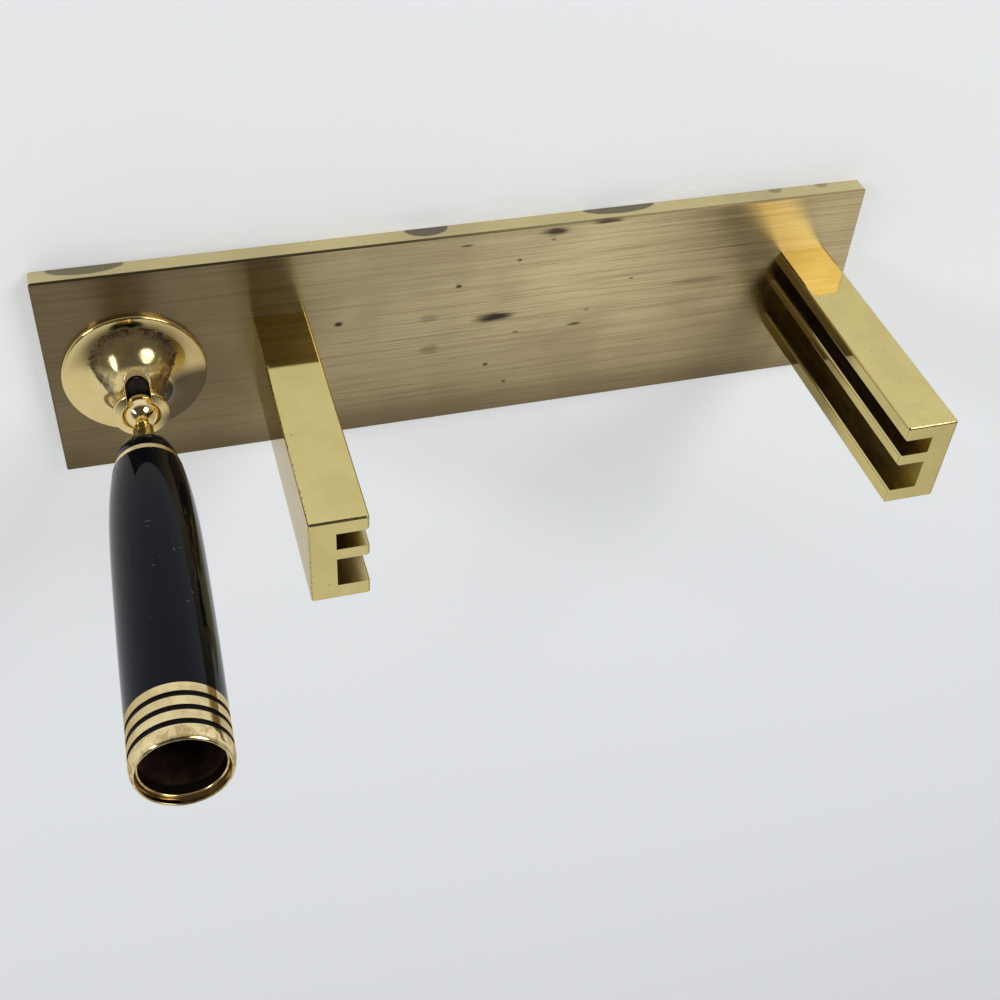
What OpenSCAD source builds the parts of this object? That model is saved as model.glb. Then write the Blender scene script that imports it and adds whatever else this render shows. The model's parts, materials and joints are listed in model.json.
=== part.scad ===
// Brass desk set: a plate with two slotted card uprights and a swivelling pen socket.
// The plate lies flat on its felt at z = 0, the user sits on the -Y side, and +X is the user's right.

/* [Base plate] */
// Length of the plate, along X
plate_l = 139.7; // [132:0.1:200]
// Width of the plate, along Y
plate_w = 38.1; // [30:0.1:80]
// Thickness of the plate
plate_t = 3.2; // [2.6:0.1:6]
// Corner radius of the plate
plate_corner = 0.5; // [0.4:0.1:3]
// Chamfer along the plate's upper edges
plate_chamfer = 0.3; // [0.1:0.05:0.8]
// Thickness of the felt under the plate
felt_t = 0.8; // [0.4:0.1:2]
// Distance from the plate's edge to the felt
felt_inset = 1.5; // [0.5:0.1:4]

/* [Card uprights] */
// Height of the uprights above the plate
post_h = 48; // [30:0.5:80]
// Width of an upright, along X
post_w = 8.7; // [7:0.1:14]
// Thickness of an upright's back wall, behind the slots
post_spine = 3.9; // [3.5:0.1:5]
// Thickness of the front arm
front_arm = 2.6; // [1.5:0.1:4]
// Width of the narrow slot
narrow_slot = 3.1; // [2:0.1:5]
// Thickness of the middle arm
middle_arm = 2; // [1:0.1:4]
// Width of the wide slot
wide_slot = 5.4; // [4.2:0.1:8]
// Thickness of the rear arm
rear_arm = 2.8; // [1.5:0.1:4]
// Radius of the upright's long outer edges
post_edge_r = 0.6; // [0.2:0.05:1]
// Chamfer round the upright's top
post_chamfer = 0.2; // [0.1:0.05:0.8]
// Distance from the plate's left end to the left upright's middle
left_post_inset = 9.8; // [7:0.1:20]
// Distance from the plate's right end to the right upright's middle
right_post_inset = 37.15; // [30:0.1:50]

/* [Fasteners] */
// Radius of the uprights' screws
post_screw_r = 1.2; // [0.8:0.05:1.4]
// How far those screws reach into the uprights
post_screw_bite = 6.5; // [4:0.1:12]
// Spacing of the two screws in an upright
post_screw_pitch = 9; // [6.5:0.1:10]
// Radius of the swivel's screw
swivel_screw_r = 1; // [0.8:0.05:1.3]
// How much wider a countersunk head is than its screw
head_flare = 1.1; // [0.8:0.05:1.3]
// Depth of a countersunk head
head_depth = 1.2; // [0.8:0.05:1.8]
// Width of the screwdriver's slot in a head
drive_w = 0.6; // [0.4:0.05:1]
// Depth of that slot
drive_depth = 0.5; // [0.3:0.05:0.7]

/* [Swivel bell] */
// Distance from the plate's right end to the bell's axis
bell_inset = 13.4; // [12:0.1:16]
// Radius of the bell's foot
bell_r = 11.4; // [9:0.1:12]
// Height of the foot's plain edge
bell_edge = 0.7; // [0.4:0.05:1.2]
// Height of the ball's middle above the plate
ball_h = 9.75; // [8.8:0.05:14]
// Wall of the bell's narrow neck
neck_wall = 0.4; // [0.35:0.05:0.8]
// Height of the neck's narrowest place below the ball's middle
neck_drop = 1.35; // [0.8:0.05:2]
// How far the lip stands out from the neck
lip_flare = 1.1; // [0.6:0.05:2]
// Height of the lip's rounded edge
lip_edge = 0.7; // [0.4:0.05:1]
// How far the lip closes over the ball's middle
lip_hold = 0.75; // [0.6:0.05:1.2]
// Height of the bevel inside the lip, above where it closes
lip_bevel_h = 0.5; // [0.3:0.05:0.8]
// How far that bevel opens outwards
lip_bevel = 0.25; // [0.1:0.05:0.3]
// Width of the slot in the bell's front
bell_slot_w = 3.72; // [3.5:0.02:4.2]
// How far that slot reaches below the ball's middle
bell_slot_drop = 5.2; // [3.4:0.1:6]

/* [Swivel parts] */
// Radius of the ball
ball_r = 2.8; // [2.5:0.05:3]
// Radius of the ball's stem
stem_r = 1.55; // [1.35:0.05:1.6]
// Radius of the waist where the stem leaves the ball
waist_r = 1; // [0.8:0.05:1.2]
// Distance from the ball's middle to the end of that waist
waist_end = 3.6; // [3.2:0.1:4]
// Length over which the waist widens to the stem
waist_flare = 1.4; // [0.6:0.1:3]
// Radius of the stem's threaded end
stud_r = 1.2; // [0.8:0.05:1.25]
// Height of the friction pad
pad_h = 2.2; // [1.4:0.1:3]
// How deep the ball sits in the friction pad
pad_dish = 0.6; // [0.3:0.05:0.9]
// Height of the threaded plug
plug_h = 2.4; // [1.8:0.1:3]
// Thickness of the spring's wire
spring_wire = 0.5; // [0.3:0.05:0.6]
// Turns of the spring
spring_turns = 2.5; // [2:0.5:3]

/* [Pen socket] */
// Lean of the socket towards the front as it stands
rest_lean = 5.3; // [-20:0.1:30]
// Lean of the socket towards the right as it stands
rest_sway = 1.45; // [-2:0.05:2]
// Distance from the ball's middle to the end cap
cap_start = 10.2; // [8.5:0.1:14]
// Length of the domed end cap
cap_len = 5.1; // [3.5:0.1:8]
// Radius of the cap's flat round the stem
cap_flat_r = 2.4; // [1.7:0.05:2.8]
// Step from the ring in to the cap's edge
cap_step = 0.2; // [0.05:0.05:0.5]
// Thickness of the thin gold ring
ring_t = 1.25; // [0.6:0.05:2]
// Radius of the thin gold ring
ring_r = 4.95; // [4.7:0.05:5.5]
// Radius of the cap's spigot, which carries the ring
spigot_r = 3.2; // [2.4:0.1:3.6]
// Length of the barrel between the ring and the mouth sleeve
barrel_len = 48.9; // [40:0.1:70]
// Step from the ring out to the barrel's end
barrel_step = 0.25; // [0.05:0.05:0.4]
// Largest radius of the barrel
barrel_r = 6.44; // [6.36:0.01:7.2]
// Distance from the ring to the barrel's widest place
barrel_swell = 34; // [25:0.5:38]
// Radius of the barrel's narrow chamber, round the nut
chamber_r = 3.6; // [3.2:0.05:3.8]
// Length of the barrel's chamber
chamber_len = 9.6; // [6:0.1:12]
// Thickness of the barrel's end wall
end_wall = 2.5; // [1.5:0.1:4]
// Thickness of the nut on the stud
nut_t = 2; // [1.2:0.1:3]
// Radius across the nut's corners
nut_r = 2.6; // [2.2:0.05:2.9]
// How far the stud stands past the nut
stud_tail = 0.6; // [0.2:0.1:2]

/* [Mouth] */
// Radius of the bore that takes the pen
pen_bore_r = 4.95; // [4.6:0.05:5.05]
// Depth of that bore down to the liner's step
pen_bore_len = 17; // [12:0.5:25]
// How much narrower the liner is below its step
liner_step = 0.7; // [0.3:0.05:1]
// Wall of the liner
liner_wall = 0.42; // [0.3:0.02:0.45]
// Thickness of the liner's closed end
liner_end = 1.5; // [1:0.1:3]
// Wall of the barrel's end inside the sleeve
tail_wall = 0.4; // [0.35:0.01:0.45]
// How far the barrel's end reaches into the sleeve
tail_len = 5.95; // [5.8:0.05:8]
// Outer radius of the mouth sleeve
sleeve_r = 6.32; // [6.3:0.01:6.35]
// How far the sleeve stands past the barrel's end
sleeve_nose = 2.7; // [2.2:0.1:5]
// Radius of the gold ring just inside the mouth
throat_r = 5.15; // [5.1:0.05:5.3]
// Length of that inner ring
throat_len = 1.4; // [0.8:0.1:2]
// Radius of the sleeve's opening
mouth_r = 5.62; // [5.5:0.02:5.8]
// Length of the rim's rounding outside
rim_len = 1; // [0.5:0.05:1.4]
// Radius of the rim's inner edge
rim_edge = 0.15; // [0.08:0.01:0.25]
// Distance from the sleeve's edge to the first groove's middle
groove_start = 1.8; // [1.2:0.05:2.2]
// Distance between the grooves
groove_pitch = 2.23; // [1.6:0.01:2.3]
// Width of a groove
groove_w = 0.86; // [0.4:0.02:1.2]
// Depth of a groove
groove_depth = 0.26; // [0.15:0.01:0.3]
// How far the black inlay lies below the gold
inlay_drop = 0.05; // [0.02:0.01:0.1]

/* [Clearances] */
// Gap all round pieces that are fixed together
fit_gap = 0.03; // [0.02:0.01:0.05]
// Gap all round pieces that turn
run_gap = 0.05; // [0.03:0.01:0.08]

/* [Hidden] */

$fn = 96;
arc_steps = 12;
cut = 0.5;

// Heights and places on the plate
plate_top = felt_t + plate_t;
post_d = front_arm + narrow_slot + middle_arm + wide_slot + rear_arm;
left_post_x = left_post_inset - plate_l / 2;
right_post_x = plate_l / 2 - right_post_inset;
post_screw_x = (post_w - post_spine) / 2;
bell_x = plate_l / 2 - bell_inset;

// Heights inside the bell, above the plate
seat_r = ball_r + run_gap;
neck_r = seat_r + neck_wall;
neck_h = ball_h - neck_drop;
lip_r = neck_r + lip_flare;
lip_close_r = sqrt(seat_r * seat_r - lip_hold * lip_hold);
lip_top = ball_h + lip_hold + lip_bevel_h;
lip_low = lip_top - lip_edge - 0.5 * lip_hold;
pad_top = ball_h - ball_r + pad_dish;
pad_low = pad_top - pad_h;
pad_r = seat_r - run_gap;
plug_r = seat_r - fit_gap;

// Spring between the plug and the pad
spring_r = pad_r - spring_wire;
spring_low = plug_h + spring_wire / 2 + fit_gap;
spring_top = pad_low - spring_wire / 2 - fit_gap;
spring_pitch = (spring_top - spring_low) / spring_turns;
spring_rings = 8;
spring_sides = 6;
echo(spring_gap = spring_pitch - spring_wire);

// Stations along the socket, measured from the ball's middle
cap_end = cap_start + cap_len;
barrel_start = cap_end + ring_t;
chamber_start = barrel_start + end_wall;
chamber_end = chamber_start + chamber_len;
sleeve_start = barrel_start + barrel_len;
barrel_end = sleeve_start + tail_len;
mouth_end = barrel_end + sleeve_nose;
nut_start = chamber_start;
stud_end = nut_start + nut_t + stud_tail;
pen_step = barrel_end - pen_bore_len;

// Radii of the socket's nested pieces
stud_bore_r = stud_r + run_gap;
liner_r = pen_bore_r + liner_wall;
barrel_bore_r = liner_r + fit_gap;
tail_r = barrel_bore_r + tail_wall;
sleeve_bore_r = tail_r + fit_gap;
groove_r = sleeve_r - groove_depth;

// Points of an ellipse's arc
function arc(centre, rx, ry, from, to) = [
    for (i = [0 : arc_steps])
        let (angle = from + (to - from) * i / arc_steps)
        [centre.x + rx * cos(angle), centre.y + ry * sin(angle)]
];

// Outer radius of the barrel, which swells from the ring and draws in a little at the sleeve
swell_power = 4.2;
function barrel_out(along) = along < barrel_swell
    ? barrel_r - (barrel_r - ring_r - barrel_step) * pow(1 - along / barrel_swell, swell_power)
    : barrel_r - (barrel_r - sleeve_r) * pow((along - barrel_swell) / (barrel_len - barrel_swell), 2);

// Puts a piece of the socket in place, with its axis along the lean
module on_swivel() {
    translate([bell_x, 0, plate_top + ball_h])
        rotate([rest_lean, rest_sway, 0])
            children();
}

// Puts a piece of the swivel on the plate
module on_plate() {
    translate([bell_x, 0, plate_top])
        children();
}

// Rectangle with round corners, centred
module round_box(w, d, r) {
    square([w - 2 * r, d], center = true);
    square([w, d - 2 * r], center = true);
    for (sx = [-1, 1])
        for (sy = [-1, 1])
            translate([sx * (w / 2 - r), sy * (d / 2 - r)])
                circle(r, $fn = 32);
}

// Takes a chamfer off the four upper edges of a block
module top_chamfer(w, d, size) {
    leg = size * sqrt(2);
    for (side = [-1, 1]) {
        translate([side * w / 2, 0, 0])
            rotate([0, 45, 0])
                cube([leg, d + 2 * cut, leg], center = true);
        translate([0, side * d / 2, 0])
            rotate([45, 0, 0])
                cube([w + 2 * cut, leg, leg], center = true);
    }
}

// Countersunk screw standing on its head, widened by a gap where it is used as a cutter
module screw(r, len, gap) {
    rotate_extrude()
        polygon([
            [0, 0],
            [r + head_flare + gap, 0],
            [r + gap, head_depth],
            [r + gap, len],
            [0, len]
        ]);
}

// Screw with the screwdriver's slot across its head
module slotted_screw(r, len) {
    reach = r + head_flare + cut;
    difference() {
        screw(r, len, 0);
        translate([-reach, -drive_w / 2, -cut])
            cube([2 * reach, drive_w, drive_depth + cut]);
    }
}

// Places of the two screws in an upright; side is 1 where the back wall is towards +X
module at_post_screws(x, side) {
    for (row = [-1, 1])
        at_post_screw(x, side, row)
            children();
}

module at_post_screw(x, side, row) {
    translate([x + side * post_screw_x, row * post_screw_pitch / 2, felt_t])
        children();
}

module post_screw(x, side, row) {
    color("goldenrod")
        at_post_screw(x, side, row)
            slotted_screw(post_screw_r, plate_t + post_screw_bite);
}

// Brushed plate with countersunk holes from below
module base_plate() {
    color("darkgoldenrod")
        difference() {
            translate([0, 0, felt_t])
                linear_extrude(plate_t)
                    round_box(plate_l, plate_w, plate_corner);
            translate([0, 0, plate_top])
                top_chamfer(plate_l, plate_w, plate_chamfer);
            at_post_screws(left_post_x, -1)
                screw(post_screw_r, plate_t + cut, fit_gap);
            at_post_screws(right_post_x, 1)
                screw(post_screw_r, plate_t + cut, fit_gap);
            translate([bell_x, 0, felt_t])
                screw(swivel_screw_r, plate_t + cut, fit_gap);
        }
}

module felt_pad() {
    color("darkgreen")
        linear_extrude(felt_t)
            round_box(plate_l - 2 * felt_inset, plate_w - 2 * felt_inset, plate_corner);
}

// Card upright of E section: two slots of different width open away from the back wall
module card_post(x, side) {
    slot_depth = post_w - post_spine;
    front = -post_d / 2;
    narrow_y = front + front_arm;
    wide_y = narrow_y + narrow_slot + middle_arm;
    color("gold")
        difference() {
            translate([x, 0, plate_top])
                difference() {
                    linear_extrude(post_h)
                        round_box(post_w, post_d, post_edge_r);
                    scale([side, 1, 1])
                        for (slot = [[narrow_y, narrow_slot], [wide_y, wide_slot]])
                            translate([-post_w / 2 - cut, slot[0], -cut])
                                cube([slot_depth + cut, slot[1], post_h + 2 * cut]);
                    translate([0, 0, post_h])
                        top_chamfer(post_w, post_d, post_chamfer);
                }
            at_post_screws(x, side)
                screw(post_screw_r, plate_t + post_screw_bite + cut, fit_gap);
        }
}

module left_post() {
    card_post(left_post_x, -1);
}

module right_post() {
    card_post(right_post_x, 1);
}

// Trumpet-shaped bell with a ball seat, a spring bore and an arched slot in front
module swivel_bell() {
    flare_r = bell_r - neck_r - bell_edge / 2;
    flare_h = neck_h - bell_edge;
    color("gold")
        on_plate()
            difference() {
                rotate_extrude()
                    polygon(concat(
                        [[0, 0], [bell_r, 0]],
                        arc([bell_r - bell_edge / 2, bell_edge / 2], bell_edge / 2, bell_edge / 2, 0, 90),
                        arc([neck_r + flare_r, neck_h], flare_r, flare_h, 270, 180),
                        arc([neck_r + lip_flare, neck_h], lip_flare, lip_low - neck_h, 180, 90),
                        arc([lip_r - lip_edge / 2, lip_low + lip_edge / 2], lip_edge / 2, lip_edge / 2, 0, 90),
                        [[neck_r, lip_top], [0, lip_top]]
                    ));
                translate([0, 0, -cut])
                    cylinder(r = seat_r, h = ball_h + cut);
                translate([0, 0, ball_h])
                    sphere(seat_r);
                translate([0, 0, ball_h + lip_hold])
                    cylinder(r1 = lip_close_r, r2 = lip_close_r + lip_bevel, h = lip_bevel_h);
                translate([0, 0, ball_h - bell_slot_drop])
                    front_slot();
            }
}

// Cutter for the slot: an arch lying on its side, closed at the bottom and open through the lip
module front_slot() {
    rise = bell_slot_drop + lip_hold + lip_bevel_h + cut;
    arch = bell_slot_w / 2;
    translate([0, 0, arch])
        rotate([90, 0, 0])
            cylinder(r = arch, h = bell_r);
    translate([-arch, -bell_r, arch])
        cube([bell_slot_w, bell_r, rise - arch]);
}

// Cupped pad that presses up on the ball
module friction_pad() {
    color("dimgray")
        on_plate()
            difference() {
                translate([0, 0, pad_low])
                    cylinder(r = pad_r, h = pad_h);
                translate([0, 0, ball_h])
                    sphere(seat_r);
            }
}

// Ring of points round the spring's wire at one step of its helix
function spring_ring(step) =
    let (
        turn = 360 * step / spring_rings,
        height = spring_low + spring_pitch * step / spring_rings
    )
    [
        for (side = [0 : spring_sides - 1])
            let (
                angle = 360 * side / spring_sides,
                out = spring_r + spring_wire / 2 * cos(angle)
            )
            [out * cos(turn), out * sin(turn), height + spring_wire / 2 * sin(angle)]
    ];

module tension_spring() {
    steps = spring_turns * spring_rings;
    points = [for (step = [0 : steps]) each spring_ring(step)];
    walls = [
        for (step = [0 : steps - 1])
            for (side = [0 : spring_sides - 1])
                let (
                    low = step * spring_sides,
                    next = (side + 1) % spring_sides
                )
                [low + side, low + spring_sides + side, low + spring_sides + next, low + next]
    ];
    first_end = [for (side = [0 : spring_sides - 1]) side];
    last_end = [for (side = [spring_sides - 1 : -1 : 0]) steps * spring_sides + side];
    color("silver")
        on_plate()
            polyhedron(points, concat(walls, [first_end, last_end]));
}

// Threaded plug that closes the bell's bore and takes the swivel's screw
module spring_plug() {
    color("goldenrod")
        on_plate()
            difference() {
                cylinder(r = plug_r, h = plug_h);
                translate([0, 0, -cut])
                    cylinder(r = swivel_screw_r + fit_gap, h = plug_h + 2 * cut);
            }
}

module swivel_screw() {
    color("goldenrod")
        translate([bell_x, 0, felt_t])
            slotted_screw(swivel_screw_r, plate_t + plug_h);
}

// Ball with a waisted stem and the thinner threaded end that passes through the cap and the barrel
module ball_stud() {
    color("gold")
        on_swivel() {
            sphere(ball_r);
            rotate_extrude()
                polygon(concat(
                    [[0, 0], [waist_r, 0]],
                    arc([stem_r, waist_end], stem_r - waist_r, waist_flare, 180, 90),
                    [
                        [stem_r, cap_start - run_gap],
                        [stud_r, cap_start - run_gap],
                        [stud_r, stud_end],
                        [0, stud_end]
                    ]
                ));
        }
}

// Black domed end cap with the spigot that carries the ring
module end_cap() {
    dome_r = ring_r - cap_step - cap_flat_r;
    color("black")
        on_swivel()
            rotate_extrude()
                polygon(concat(
                    [[stud_bore_r, cap_start]],
                    arc([cap_flat_r, cap_end], dome_r, cap_len, -90, 0),
                    [
                        [spigot_r, cap_end],
                        [spigot_r, barrel_start],
                        [stud_bore_r, barrel_start]
                    ]
                ));
}

module end_ring() {
    color("gold")
        on_swivel()
            translate([0, 0, cap_end])
                difference() {
                    cylinder(r = ring_r, h = ring_t);
                    translate([0, 0, -cut])
                        cylinder(r = spigot_r + fit_gap, h = ring_t + 2 * cut);
                }
}

// Glossy black barrel: swelling outside, with a nut chamber, a liner bore and a thin tail
module barrel() {
    steps = 2 * arc_steps;
    color("black")
        on_swivel()
            rotate_extrude()
                polygon(concat(
                    [[stud_bore_r, barrel_start]],
                    [
                        for (i = [0 : steps])
                            let (along = barrel_len * i / steps)
                            [barrel_out(along), barrel_start + along]
                    ],
                    [
                        [tail_r, sleeve_start],
                        [tail_r, barrel_end],
                        [barrel_bore_r, barrel_end],
                        [barrel_bore_r, chamber_end],
                        [chamber_r, chamber_end],
                        [chamber_r, chamber_start],
                        [stud_bore_r, chamber_start]
                    ]
                ));
}

module stud_nut() {
    color("goldenrod")
        on_swivel()
            translate([0, 0, nut_start])
                difference() {
                    cylinder(r = nut_r, h = nut_t, $fn = 6);
                    translate([0, 0, -cut])
                        cylinder(r = stud_bore_r, h = nut_t + 2 * cut);
                }
}

// Dark closed tube inside the barrel, with a step that stops the pen
module liner() {
    inner_r = pen_bore_r - liner_step;
    color("saddlebrown")
        on_swivel()
            rotate_extrude()
                polygon([
                    [0, chamber_end],
                    [liner_r, chamber_end],
                    [liner_r, barrel_end],
                    [pen_bore_r, barrel_end],
                    [pen_bore_r, pen_step],
                    [inner_r, pen_step - liner_step],
                    [inner_r, chamber_end + liner_end + inner_r / 2],
                    [0, chamber_end + liner_end]
                ]);
}

// Gold sleeve with three grooves, a rolled rim and a ring inside the mouth
module mouth_sleeve() {
    rim_top_r = mouth_r + rim_edge;
    groove_sides = [
        for (i = [0 : 2])
            each let (middle = sleeve_start + groove_start + i * groove_pitch)
            [
                [sleeve_r, middle - groove_w / 2],
                [groove_r, middle - groove_w / 2],
                [groove_r, middle + groove_w / 2],
                [sleeve_r, middle + groove_w / 2]
            ]
    ];
    color("gold")
        on_swivel()
            rotate_extrude()
                polygon(concat(
                    [[sleeve_bore_r, sleeve_start], [sleeve_r, sleeve_start]],
                    groove_sides,
                    arc([rim_top_r, mouth_end - rim_len], sleeve_r - rim_top_r, rim_len, 0, 90),
                    arc([rim_top_r, mouth_end - rim_edge], rim_edge, rim_edge, 90, 180),
                    [
                        [mouth_r, barrel_end + throat_len],
                        [throat_r, barrel_end + throat_len],
                        [throat_r, barrel_end],
                        [sleeve_bore_r, barrel_end]
                    ]
                ));
}

// Black ring that fills one of the sleeve's grooves
module groove_inlay(index) {
    middle = sleeve_start + groove_start + index * groove_pitch;
    color("black")
        on_swivel()
            translate([0, 0, middle - groove_w / 2])
                difference() {
                    cylinder(r = sleeve_r - inlay_drop, h = groove_w);
                    translate([0, 0, -cut])
                        cylinder(r = groove_r, h = groove_w + 2 * cut);
                }
}

base_plate();
felt_pad();
left_post();
right_post();
post_screw(left_post_x, -1, -1);  // left_screw_front
post_screw(left_post_x, -1, 1);  // left_screw_rear
post_screw(right_post_x, 1, -1);  // right_screw_front
post_screw(right_post_x, 1, 1);  // right_screw_rear
swivel_bell();
friction_pad();
tension_spring();
spring_plug();
swivel_screw();
ball_stud();
end_cap();
end_ring();
barrel();
stud_nut();
liner();
mouth_sleeve();
groove_inlay(0);  // groove_inlay_1
groove_inlay(1);  // groove_inlay_2
groove_inlay(2);  // groove_inlay_3
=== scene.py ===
import json
import math

import bmesh
import bpy
from mathutils import Matrix, Vector, noise


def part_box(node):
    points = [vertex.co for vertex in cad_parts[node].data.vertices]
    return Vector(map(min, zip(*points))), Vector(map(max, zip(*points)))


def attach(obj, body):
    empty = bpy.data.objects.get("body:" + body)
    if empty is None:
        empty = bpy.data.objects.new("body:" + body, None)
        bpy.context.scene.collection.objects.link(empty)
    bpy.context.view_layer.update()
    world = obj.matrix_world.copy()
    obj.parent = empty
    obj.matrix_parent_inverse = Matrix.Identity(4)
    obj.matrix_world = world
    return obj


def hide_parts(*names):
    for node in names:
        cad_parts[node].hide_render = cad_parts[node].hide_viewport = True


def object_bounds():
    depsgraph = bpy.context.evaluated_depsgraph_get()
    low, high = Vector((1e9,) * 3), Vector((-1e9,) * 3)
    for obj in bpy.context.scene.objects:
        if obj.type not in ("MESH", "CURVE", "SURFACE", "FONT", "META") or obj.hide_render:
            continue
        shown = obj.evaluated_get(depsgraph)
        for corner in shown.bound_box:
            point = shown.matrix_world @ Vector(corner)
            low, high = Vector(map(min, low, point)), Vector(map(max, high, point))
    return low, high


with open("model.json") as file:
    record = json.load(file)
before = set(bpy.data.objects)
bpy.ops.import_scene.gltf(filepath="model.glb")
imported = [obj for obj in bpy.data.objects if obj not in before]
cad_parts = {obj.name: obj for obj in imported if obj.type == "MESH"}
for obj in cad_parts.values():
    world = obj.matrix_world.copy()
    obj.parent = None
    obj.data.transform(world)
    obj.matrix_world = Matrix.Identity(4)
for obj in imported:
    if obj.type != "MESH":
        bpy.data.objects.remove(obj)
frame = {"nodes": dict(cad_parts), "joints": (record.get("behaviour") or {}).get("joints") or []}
cad_low, cad_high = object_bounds()
nodes = frame["nodes"]
joints = {joint["name"]: joint for joint in frame["joints"]}
MM = 0.001

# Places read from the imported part, in millimetres
PLATE_LOW, PLATE_HIGH = (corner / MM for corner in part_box("base_plate"))
BELL_LOW, BELL_HIGH = (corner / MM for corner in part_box("swivel_bell"))
LEFT_LOW, LEFT_HIGH = (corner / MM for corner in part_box("left_post"))
RIGHT_LOW, RIGHT_HIGH = (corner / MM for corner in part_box("right_post"))
BALL = Vector(joints["socket_tilt"]["pos_m"]) / MM
SOCKET_AXIS = Vector(joints["socket_spin"]["axis"]).normalized()
UP = Vector((0, 0, 1))
PLATE_TOP = PLATE_HIGH.z
BALL_H = BALL.z - PLATE_TOP
BELL_R = (BELL_HIGH.x - BELL_LOW.x) / 2
BELL_X = (BELL_HIGH.x + BELL_LOW.x) / 2

# Uprights, in millimetres, as in the part's source
POST_SPINE = 3.9
FRONT_ARM = 2.6
NARROW_SLOT = 3.1
MIDDLE_ARM = 2.0
WIDE_SLOT = 5.4
POST_SCREW_R = 1.2
POST_SCREW_GAP = 0.03

# Bell and ball stud, in millimetres, as in the part's source
SEAT_R = 2.85
NECK_R = 3.25
NECK_DROP = 1.35
NECK_H = BALL_H - NECK_DROP
BELL_EDGE = 0.7
LIP_FLARE = 1.1
LIP_EDGE = 0.7
LIP_HOLD = 0.75
LIP_BEVEL = 0.25
LIP_BEVEL_H = 0.5
SLOT_W = 3.72
SLOT_DROP = 5.2
BALL_R = 2.8
STEM_R = 1.55
WAIST_R = 1.0
WAIST_END = 3.6
WAIST_FLARE = 1.4
SHOULDER = 10.15
STUD_R = 1.2
STUD_END = 21.65

# Socket, in millimetres, as in the part's source: radii, and places along its axis from the ball's middle
STUD_BORE_R = 1.25
CAP_START = 10.2
CAP_END = 15.3
CAP_FLAT_R = 2.4
CAP_R = 4.75
RING_R = 4.95
SPIGOT_R = 3.2
BARREL_START = 16.55
BARREL_R = 6.44
BARREL_STEP = 0.25
BARREL_SWELL = 34.0
SWELL_POWER = 4.2
CHAMBER_START = 19.05
CHAMBER_END = 28.65
CHAMBER_R = 3.6
BARREL_BORE_R = 5.40
TAIL_R = 5.80
SLEEVE_START = 65.45
BARREL_END = 71.4
MOUTH_END = 74.1
SLEEVE_BORE_R = 5.83
SLEEVE_R = 6.32
GROOVES = 3
GROOVE_R = 6.06
GROOVE_START = 1.8
GROOVE_PITCH = 2.23
GROOVE_W = 0.86
INLAY_DROP = 0.05
THROAT_R = 5.15
THROAT_LEN = 1.4
MOUTH_R = 5.62
RIM_EDGE = 0.15

# Trim of the visual alone, in millimetres; its rim is longer than the source's and so looks rounder
SLOT_BEAD_R = 0.2
SLOT_BEAD_DROP = 0.1
INLAY_SAG = 0.16
THROAT_BEAD = 0.3
RIM_LEN = 1.7
RIM_DENT = 0.12
RIM_DENT_SCALE = 0.45
POST_SOFT = 0.45

# Fineness of the meshes, and limits used in making them
TURNS = 192
BELL_TURNS = 256
BARREL_STEPS = 96
BEAD_SIDES = 12
BEAD_STEPS = 24
POST_SOFT_STEPS = 8
HOLE_SIDES = 32
CUT_OVER = 1.0
CREASE = math.radians(32)
FLAT_ENOUGH = 0.9999
ON_AXIS = 1e-6

# A Mix node's sockets for colours
MIX_A = 6
MIX_B = 7
MIX_RESULT = 2


class Graph:
    """A node tree, with short calls that add its nodes and link them."""

    def __init__(self, tree):
        self.tree = tree

    def add(self, kind, **settings):
        node = self.tree.nodes.new(kind)
        for name, value in settings.items():
            setattr(node, name, value)
        return node

    def put(self, socket, value):
        """Sets a socket to a plain value, or links another node's output to it."""
        if isinstance(value, bpy.types.NodeSocket):
            self.tree.links.new(value, socket)
        else:
            socket.default_value = value

    def maths(self, operation, total, *values):
        """Takes each further value in turn with a Math node, or uses a single node if there is none."""
        for value in values or (0.0,):
            node = self.add("ShaderNodeMath", operation=operation)
            self.put(node.inputs[0], total)
            self.put(node.inputs[1], value)
            total = node.outputs[0]
        return total

    def vectors(self, operation, a, b=None):
        """A Vector Math node's result, which is a number for a length or a dot product."""
        node = self.add("ShaderNodeVectorMath", operation=operation)
        self.put(node.inputs[0], a)
        if b is not None:
            self.put(node.inputs[1], b)
        return node.outputs["Value" if operation in ("LENGTH", "DOT_PRODUCT") else "Vector"]

    def parts(self, vector):
        node = self.add("ShaderNodeSeparateXYZ")
        self.put(node.inputs[0], vector)
        return node.outputs

    def band(self, value, low, high, out=(0.0, 1.0), soft=True):
        """Runs from the first out value at low to the second at high, and holds them beyond."""
        kind = "SMOOTHSTEP" if soft else "LINEAR"
        node = self.add("ShaderNodeMapRange", interpolation_type=kind, clamp=True)
        self.put(node.inputs["Value"], value)
        for socket, limit in zip(("From Min", "From Max", "To Min", "To Max"), (low, high, *out)):
            node.inputs[socket].default_value = limit
        return node.outputs["Result"]

    def mix(self, factor, a, b):
        node = self.add("ShaderNodeMix", data_type="RGBA")
        self.put(node.inputs["Factor"], factor)
        for index, colour in ((MIX_A, a), (MIX_B, b)):
            linked = isinstance(colour, bpy.types.NodeSocket)
            self.put(node.inputs[index], colour if linked else (*colour, 1))
        return node.outputs[MIX_RESULT]


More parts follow.
